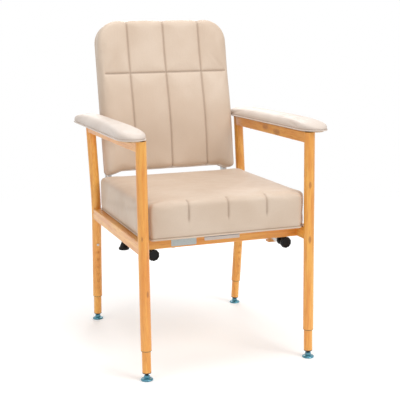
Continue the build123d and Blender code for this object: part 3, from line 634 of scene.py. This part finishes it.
def add_studio():
    world = bpy.data.worlds.new("studio")
    world.use_nodes = True
    tree = world.node_tree
    background = tree.nodes["Background"]
    background.inputs["Color"].default_value = (1.0, 1.0, 1.0, 1.0)
    path = tree.nodes.new("ShaderNodeLightPath")
    seen = tree.nodes.new("ShaderNodeMath")
    seen.operation = "MAXIMUM"
    tree.links.new(path.outputs["Is Camera Ray"], seen.inputs[0])
    tree.links.new(path.outputs["Is Glossy Ray"], seen.inputs[1])
    strength = tree.nodes.new("ShaderNodeMapRange")
    strength.inputs["To Min"].default_value = WORLD_LIGHT
    strength.inputs["To Max"].default_value = WORLD_SEEN
    tree.links.new(seen.outputs[0], strength.inputs["Value"])
    tree.links.new(strength.outputs[0], background.inputs["Strength"])
    scene.world = world
    for light in LIGHTS:
        area_light(*light)
    built = bmesh.new()
    bmesh.ops.create_grid(built, x_segments=8, y_segments=8, size=FLOOR_SIZE / 2)
    mesh = bpy.data.meshes.new("floor")
    built.to_mesh(mesh)
    built.free()
    floor = new_piece("floor", mesh)
    floor.data.materials.append(floor_material())
    scene.view_settings.view_transform = "Standard"


# ---------------------------------------------------------------- cushions
def axis_frame(node, rake=0.0):
    """Frame standing on a node's lowest corner: X across, then along and out of the cushion's face.

    Without a rake the face looks up. With one, it looks forwards and leans back by that angle.
    """
    if rake:
        lean = radians(rake)
        along = Vector((0, sin(lean), cos(lean)))
        out = Vector((0, -cos(lean), sin(lean)))
    else:
        along = Vector((0, 1, 0))
        out = Vector((0, 0, 1))
    across = Vector((1, 0, 0))
    axes = np.array([across, along, out])
    points = np.array([v.co for v in frame["nodes"][node].data.vertices]) @ axes.T
    low, high = points.min(0), points.max(0)
    foot = across * ((low[0] + high[0]) / 2) + along * low[1] + out * low[2]
    place = Matrix.Translation(foot) @ Matrix((across, along, out)).transposed().to_4x4()
    return place, Vector(high - low)


def fade(value, low, high):
    """Smooth step from 0 to 1."""
    share = np.clip((value - low) / (high - low), 0, 1)
    return share * share * (3 - 2 * share)


def upper_edge(tall, edge, steps, step_angle):
    """Levels of a rounded upper edge: it starts below the top, and rises and runs inwards."""
    below, rise, run = edge
    turns = [radians(step_angle * i) for i in range(steps)]
    return [(tall - below + rise * sin(turn), run * (1 - cos(turn))) for turn in turns]


def hump(values, half):
    """Cosine hump: 1 in the middle, 0 at half away from it."""
    return np.cos(np.clip(values / half, -1, 1) * pi / 2)


def make_seat(material, piping):
    place, size = axis_frame("seat_cushion")
    half_x = size.x / 2 + SEAT_WIDER
    half_y = size.y / 2 - SEAT_SHORTER
    tall = size.z + SEAT_HIGHER
    outline = seat_outline(half_x, half_x - SEAT_NECK_STEP - SEAT_NECK_AIR, half_y, SEAT_CORNER_R)
    levels = [*SEAT_FOOT_LEVELS, (tall * 0.6, 0.0), *upper_edge(tall, SEAT_EDGE, 6, 18)]
    levels.append((tall - SEAT_TOP_LEVEL[0], SEAT_TOP_LEVEL[1]))
    piece = shell("seat_pad", outline, levels)
    remesh(piece, VOXEL)

    points = coordinates(piece)
    crown = hump(points[:, 0], half_x)
    crown *= hump(points[:, 1], half_y)
    points[:, 2] += SEAT_CROWN * crown * fade(points[:, 2], tall * 0.5, tall * 0.9)
    set_coordinates(piece, points)

    def seam_distance(points):
        """Distance to the nearest seam over the front edge: down the face's upper half and onto the top."""
        from_front = points[:, 1] + half_y
        near = np.min([np.abs(points[:, 0] - x) for x in SEAT_SEAMS_X], axis=0)
        off = SEAM_FAR * fade(from_front, SEAT_SEAM_ON_TOP * 0.55, SEAT_SEAM_ON_TOP)
        low = 12 * MM * (1 - fade(points[:, 2], tall * 0.1, tall * 0.55))
        return near + off + low

    def held(points):
        return (points[:, 2] < 4 * MM) | (seam_distance(points) < SEAM_HELD)

    press_seams(piece, seam_distance, 2.2 * MM, 11 * MM)
    swell(piece, held, 3 * MM)
    subdivide(piece)
    press_seams(piece, seam_distance, 2.4 * MM, SEAM_WIDTH)
    # painted shade along the pressed seams, stored for the vinyl
    paint_seam_shade(piece, seam_distance, SEAM_SHADE_WIDTH)

    rows = []
    for x in SEAT_SEAMS_X:
        for side in (-STITCH_BESIDE, STITCH_BESIDE):
            rows.append(((x + side, -half_y, tall * 0.5), (x + side, -half_y, tall - 20 * MM)))
    thread = stitches("seat_stitching", piece, rows, Vector((0, 1, 0)))

    cord_path = [Vector((x, y, 3.6 * MM)) for x, y in outline(3 * MM)]
    welt = sweep_tube("seat_piping", cord_path, WELT_R)
    for part in (piece, thread, welt):
        part.data.transform(place @ Matrix.Translation((0, size.y / 2, 0)))
    finish_piece(piece, material, "frame")
    finish_piece(thread, piping, "frame")
    finish_piece(welt, material, "frame")
    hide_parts("seat_cushion")


def make_back(material, piping):
    place, size = axis_frame("back_cushion", BACK_RAKE)
    half_x = size.x / 2 - BACK_NARROWER
    top = size.y + BACK_HIGHER
    thick = size.z
    outline = back_outline(half_x, top, **BACK_FOOT)
    levels = [*BACK_FOOT_LEVELS, (thick * 0.5, 0.0), *upper_edge(thick, BACK_EDGE, 6, 18)]
    piece = shell("back_pad", outline, levels)
    remesh(piece, VOXEL)

    points = coordinates(piece)
    front = fade(points[:, 2], thick * 0.4, thick * 0.85)
    lumbar = np.exp(-(((points[:, 1] - BACK_LUMBAR) / BACK_LUMBAR_SPREAD) ** 2))
    across = hump(points[:, 0], half_x) ** 0.5
    points[:, 2] += front * (BACK_LUMBAR_OUT * lumbar - BACK_FALL * (1 - lumbar)) * (0.5 + 0.5 * across)
    set_coordinates(piece, points)

    cross = top - BACK_CROSS_SEAM_BELOW_TOP

    def seam_distance(points):
        """Distance to the nearest quilting seam on the front face."""
        near = np.min([np.abs(points[:, 0] - x) for x in BACK_SEAMS_X], axis=0)
        past_end = fade(np.abs(points[:, 0]), half_x - 16 * MM, half_x - 4 * MM)
        level = np.abs(points[:, 1] - cross) + SEAM_FAR * past_end
        behind = SEAM_FAR * (1 - fade(points[:, 2], thick * 0.3, thick * 0.55))
        return np.minimum(near, level) + behind

    def held(points):
        return (points[:, 2] < 6 * MM) | (seam_distance(points) < SEAM_HELD)

    press_seams(piece, seam_distance, 2.6 * MM, 12 * MM)
    swell(piece, held, 6 * MM)
    subdivide(piece)
    press_seams(piece, seam_distance, 2.8 * MM, SEAM_WIDTH)
    # painted shade along the pressed seams, stored for the vinyl
    paint_seam_shade(piece, seam_distance, SEAM_SHADE_WIDTH)

    rows = []
    for side in (-STITCH_BESIDE, STITCH_BESIDE):
        for x in BACK_SEAMS_X:
            rows.append(((x + side, 24 * MM, 0), (x + side, cross - 4 * MM, 0)))
            rows.append(((x + side, cross + 4 * MM, 0), (x + side, top - 10 * MM, 0)))
        rows.append(((-half_x + 18 * MM, cross + side, 0), (half_x - 18 * MM, cross + side, 0)))
    thread = stitches("back_stitching", piece, rows, Vector((0, 0, -1)))

    cord_path = [Vector((x, y, 3.0 * MM)) for x, y in outline(2.5 * MM)]
    welt = sweep_tube("back_piping", cord_path, WELT_R)
    for part in (piece, thread, welt):
        part.data.transform(place)
    finish_piece(piece, material, "back")
    finish_piece(thread, piping, "back")
    finish_piece(welt, material, "back")
    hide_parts("back_cushion")


def make_arm_pad(name, material):
    place, size = axis_frame(f"arm_pad_{name}")
    half_x = size.x / 2 - ARM_NARROWER
    half_y = size.y / 2 + ARM_LONGER
    tall = size.z + ARM_HIGHER
    outline = pad_outline(half_x, half_y, ARM_END)
    levels = [*ARM_FOOT_LEVELS, *upper_edge(tall, ARM_EDGE, 7, 15)]
    piece = shell(f"arm_padding_{name}", outline, levels)
    remesh(piece, VOXEL * 0.8)

    points = coordinates(piece)
    end = np.clip(np.abs(points[:, 1]) / half_y, 0, 1)
    thin = 1 - ARM_THINNER_ENDS * end**8
    lift = ARM_END_LIFT * end**8
    crown = ARM_CROWN * hump(points[:, 0], half_x) * (1 - end**4)
    points[:, 2] = points[:, 2] * thin + lift + crown * fade(points[:, 2], tall * 0.4, tall * 0.8)
    set_coordinates(piece, points)

    def from_welt(points):
        """Height above or below the welt, which rises a little towards the ends."""
        share = np.clip(np.abs(points[:, 1]) / half_y, 0, 1)
        return np.abs(points[:, 2] - ARM_SEAM_Z - ARM_SEAM_LIFT * share**8)

    def held(points):
        return points[:, 2] < 6 * MM

    swell(piece, held, 4 * MM)
    subdivide(piece)
    # painted shade along the pressed welt line of the pad
    paint_seam_shade(piece, from_welt, 1.5 * MM)
    press_seams(piece, from_welt, 1.4 * MM, SEAM_WIDTH)
    cord_path = [
        Vector((x, y, ARM_SEAM_Z + ARM_SEAM_LIFT * (abs(y) / half_y) ** 8)) for x, y in outline(0.5 * MM)
    ]
    welt = sweep_tube(f"arm_piping_{name}", cord_path, ARM_WELT_R)
    middle = place @ Matrix.Translation((0, size.y / 2, 0))
    for part in (piece, welt):
        part.data.transform(middle)
        finish_piece(part, material, "frame")
    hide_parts(f"arm_pad_{name}")


# ---------------------------------------------------------------- finishes on the CAD nodes
def dress_cad_nodes(finishes):
    slots = {part["node"]: part["material_slot"] for part in frame["record"]["subparts"]}
    for node, piece in frame["nodes"].items():
        slot = slots[node]
        if slot == "timber_finish":
            if node.startswith(("side_rail", "arm_rail")):
                slot = "timber_along_y_right" if node.endswith("right") else "timber_along_y"
            elif node in ("front_rail", "rear_rail"):
                slot = "timber_along_x"
            else:
                slot = "timber_along_z"
        if slot in finishes:
            piece.data.materials.clear()
            piece.data.materials.append(finishes[slot])


add_camera()
add_studio()
seat_vinyl = vinyl("seat_vinyl_finish", srgb(213, 194, 175), srgb(194, 170, 147))
# The arm pads' vinyl is the seat vinyl painted paler: painted light for the light falling on the pads' tops.
top_lit_arm_vinyl = vinyl("top_lit_arm_vinyl_finish", srgb(218, 205, 194), srgb(202, 186, 173))
thread_finish = moulded("thread_finish", srgb(198, 178, 160), srgb(186, 164, 144), 0.6)
finishes = {
    "timber_along_x": timber("timber_crosswise", "X"),
    "timber_along_y": timber("timber_lengthwise", "Y"),
    "timber_along_y_right": timber(
        "timber_lengthwise_knotty",
        "Y",
        knots_on("arm_rail_right", "Y", ((0.36, -0.004), (0.52, 0.003)), 14 * MM),
    ),
    "timber_along_z": timber(
        "timber_upright",
        "Z",
        knots_on("front_leg_right", "Z", ((0.742, -0.004), (0.469, -0.004)), 6 * MM)
        + knots_on("front_leg_left", "Z", ((0.547, -0.008), (0.28, 0.005)), 5 * MM),
    ),
    "zinc": plated_steel("zinc_finish"),
    "plug_plastic": moulded("plug_plastic_finish", srgb(40, 40, 40), srgb(60, 60, 60), 0.5),
    "guide_plastic": moulded("guide_plastic_finish", srgb(214, 152, 80), srgb(196, 132, 62), 0.45),
    "knob_plastic": moulded("knob_plastic_finish", srgb(6, 6, 7), srgb(16, 16, 19), 0.36, ior=1.33),
    "glide": moulded("glide_finish", srgb(52, 128, 150), srgb(96, 176, 194), 0.14, 0.8, 0.35),
    "plywood": plywood("plywood_finish"),
    "covered_board": seat_vinyl,
    "label_film": label_film("label_film_finish"),
}
dress_cad_nodes(finishes)
make_seat(seat_vinyl, thread_finish)
make_back(seat_vinyl, thread_finish)
for side_name in ("left", "right"):
    make_arm_pad(side_name, top_lit_arm_vinyl)
